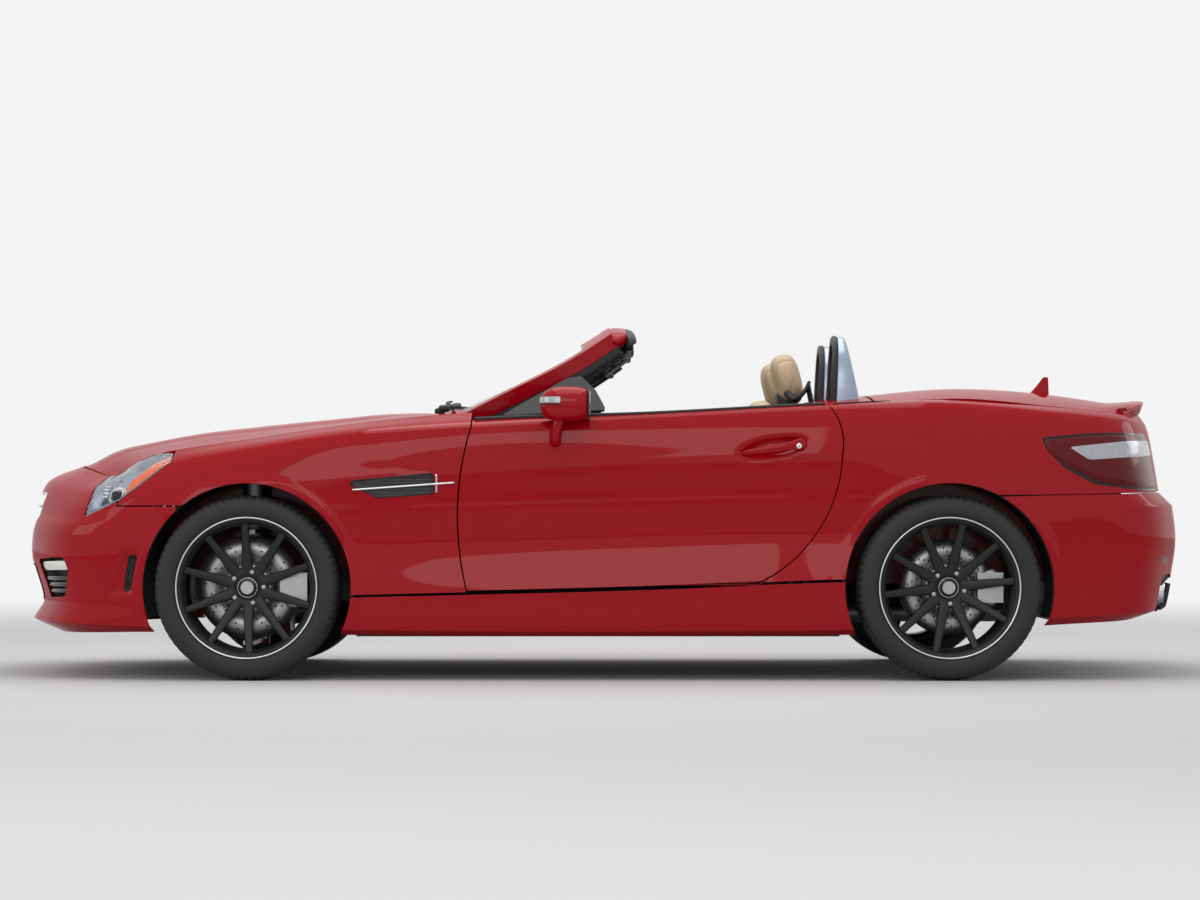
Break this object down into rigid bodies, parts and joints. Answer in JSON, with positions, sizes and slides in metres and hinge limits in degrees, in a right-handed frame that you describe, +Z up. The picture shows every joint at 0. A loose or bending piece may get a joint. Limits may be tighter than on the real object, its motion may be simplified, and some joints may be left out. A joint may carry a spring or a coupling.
{
  "type": "two-seat convertible car",
  "caption": "Open two-seat roadster with doors, bonnet, boot lid, steered front wheels, a windscreen, roll hoops behind the seats and a closed boot.",
  "frame": {"origin": "on the ground, under the middle of the length and width", "axes": "-X is towards the nose, -Y towards the car's left side, +Z up"},
  "size_m": [4.144, 2, 1.26],
  "materials": {
    "body_paint": "gloss",
    "structure_paint": "satin",
    "black_plastic": "grained",
    "gloss_black": "gloss",
    "wheel_alloy": "gloss black with a machined lip",
    "tyre_rubber": "matte",
    "disc_iron": "turned",
    "cast_alloy": "satin",
    "window_glass": "clear, faint green",
    "lamp_glass": "clear over a chrome reflector",
    "tail_lamp_red": "clear red",
    "beige_leather": "fine grain",
    "black_leather": "fine grain",
    "hoop_silver": "metallic",
    "bright_chrome": "polished",
    "engine_grey": "cast"
  },
  "bodies": {
    "car_body": {"floor_pan": "structure_paint", "front_structure": "structure_paint", "rear_structure": "structure_paint", "wheel_arch_liners": "black_plastic", "front_fenders": "body_paint", "quarter_panels": "body_paint", "side_sills": "body_paint", "rear_deck": "black_plastic", "scuttle": "black_plastic", "front_bumper": "body_paint", "front_grilles": "gloss_black", "headlamps": "lamp_glass", "rear_bumper": "body_paint", "tail_lamps": "tail_lamp_red", "windscreen_frame": "body_paint", "windscreen_glass": "window_glass", "engine": "engine_grey", "exhaust": "bright_chrome", "dashboard": "black_plastic", "centre_console": "black_plastic", "seats": "beige_leather", "roll_hoops": "hoop_silver", "front_suspension": "cast_alloy", "rear_suspension": "cast_alloy"},
    "door_left": {"door_left": "body_paint", "mirror_left": "body_paint"},
    "door_right": {"door_right": "body_paint", "mirror_right": "body_paint"},
    "bonnet": {"bonnet": "body_paint"},
    "boot_lid": {"boot_lid": "body_paint"},
    "steering_wheel": {"steering_wheel": "black_leather"},
    "knuckle_left": {"knuckle_left": "cast_alloy"},
    "knuckle_right": {"knuckle_right": "cast_alloy"},
    "wheel_front_left": {"tyre_front_left": "tyre_rubber", "rim_front_left": "wheel_alloy", "brake_disc_front_left": "disc_iron"},
    "wheel_front_right": {"tyre_front_right": "tyre_rubber", "rim_front_right": "wheel_alloy", "brake_disc_front_right": "disc_iron"},
    "wheel_rear_left": {"tyre_rear_left": "tyre_rubber", "rim_rear_left": "wheel_alloy", "brake_disc_rear_left": "disc_iron"},
    "wheel_rear_right": {"tyre_rear_right": "tyre_rubber", "rim_rear_right": "wheel_alloy", "brake_disc_rear_right": "disc_iron"}
  },
  "joints": [
    {"name": "steering_wheel_turn", "type": "hinge", "parent": "car_body", "child": "steering_wheel", "pos_m": [-0.06, -0.375, 0.88], "axis": [0.9135, 0, 0.4067], "range_deg": [-480, 480]},
    {"name": "left_knuckle_steer", "type": "hinge", "parent": "car_body", "child": "knuckle_left", "pos_m": [-1.225, -0.758, 0.32], "axis": [0, 0, 1], "range_deg": [-32, 32]},
    {"name": "right_knuckle_steer", "type": "hinge", "parent": "car_body", "child": "knuckle_right", "pos_m": [-1.225, 0.758, 0.32], "axis": [0, 0, 1], "range_deg": [-32, 32]},
    {"name": "front_left_wheel_spin", "type": "hinge", "parent": "knuckle_left", "child": "wheel_front_left", "pos_m": [-1.225, -0.78, 0.32], "axis": [0, 1, 0], "continuous": true},
    {"name": "front_right_wheel_spin", "type": "hinge", "parent": "knuckle_right", "child": "wheel_front_right", "pos_m": [-1.225, 0.78, 0.32], "axis": [0, 1, 0], "continuous": true},
    {"name": "rear_left_wheel_spin", "type": "hinge", "parent": "car_body", "child": "wheel_rear_left", "pos_m": [1.205, -0.7825, 0.32], "axis": [0, 1, 0], "continuous": true},
    {"name": "rear_right_wheel_spin", "type": "hinge", "parent": "car_body", "child": "wheel_rear_right", "pos_m": [1.205, 0.7825, 0.32], "axis": [0, 1, 0], "continuous": true},
    {"name": "left_door_hinge", "type": "hinge", "parent": "car_body", "child": "door_left", "pos_m": [-0.433, -0.876, 0.6], "axis": [0, 0, -1], "range_deg": [0, 65]},
    {"name": "right_door_hinge", "type": "hinge", "parent": "car_body", "child": "door_right", "pos_m": [-0.433, 0.876, 0.6], "axis": [0, 0, 1], "range_deg": [0, 65]},
    {"name": "bonnet_hinge", "type": "hinge", "parent": "car_body", "child": "bonnet", "pos_m": [-0.53, 0, 0.915], "axis": [0, 1, 0], "range_deg": [0, 50]},
    {"name": "boot_lid_hinge", "type": "hinge", "parent": "car_body", "child": "boot_lid", "pos_m": [0.956, 0, 1.014], "axis": [0, -1, 0], "range_deg": [0, 60]}
  ],
  "couplings": [
    {"joint": "left_knuckle_steer", "follows": "steering_wheel_turn", "ratio": 0.066667},
    {"joint": "right_knuckle_steer", "follows": "steering_wheel_turn", "ratio": 0.066667}
  ]
}
